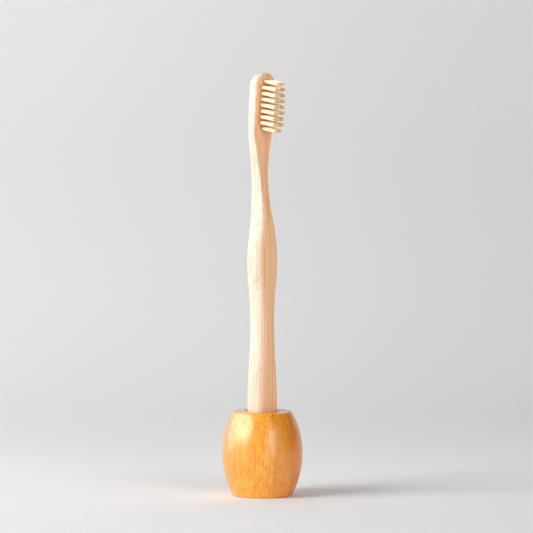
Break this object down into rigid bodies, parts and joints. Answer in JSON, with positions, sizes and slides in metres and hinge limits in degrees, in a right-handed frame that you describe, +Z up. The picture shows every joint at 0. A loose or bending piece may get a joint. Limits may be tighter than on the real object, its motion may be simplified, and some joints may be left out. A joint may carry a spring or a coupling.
{
  "type": "toothbrush holder",
  "caption": "Small barrel-shaped turned bamboo stand with a drilled round socket that holds a bamboo toothbrush upright; the tufted brush lifts out.",
  "frame": {"origin": "centre of the stand's flat foot, on the surface that it stands on", "axes": "+Z up along the socket and the brush, -Y toward the bristles, X across the width of the handle"},
  "size_m": [0.04, 0.04, 0.2095],
  "materials": {
    "stand_bamboo": "clear gloss lacquer over turned bamboo",
    "handle_bamboo": "sanded pale bamboo with a satin seal",
    "bristle": "soft cream nylon filaments",
    "staple_wire": "plain flat drawn wire"
  },
  "bodies": {
    "stand": {"stand_body": "stand_bamboo"},
    "brush": {"brush_handle": "handle_bamboo", "tuft_row1_left": "bristle", "tuft_row1_right": "bristle", "tuft_row2_left": "bristle", "tuft_row2_middle": "bristle", "tuft_row2_right": "bristle", "tuft_row3_left": "bristle", "tuft_row3_middle": "bristle", "tuft_row3_right": "bristle", "tuft_row4_left": "bristle", "tuft_row4_middle": "bristle", "tuft_row4_right": "bristle", "tuft_row5_left": "bristle", "tuft_row5_middle": "bristle", "tuft_row5_right": "bristle", "tuft_row6_left": "bristle", "tuft_row6_middle": "bristle", "tuft_row6_right": "bristle", "tuft_row7_left": "bristle", "tuft_row7_middle": "bristle", "tuft_row7_right": "bristle", "tuft_row8_left": "bristle", "tuft_row8_middle": "bristle", "tuft_row8_right": "bristle", "tuft_row9_left": "bristle", "tuft_row9_right": "bristle", "tuft_staples": "staple_wire"}
  },
  "joints": [
    {"name": "brush_lift", "type": "slide", "parent": "stand", "child": "brush", "axis": [0, 0, 1], "range_m": [0, 0.04]}
  ]
}
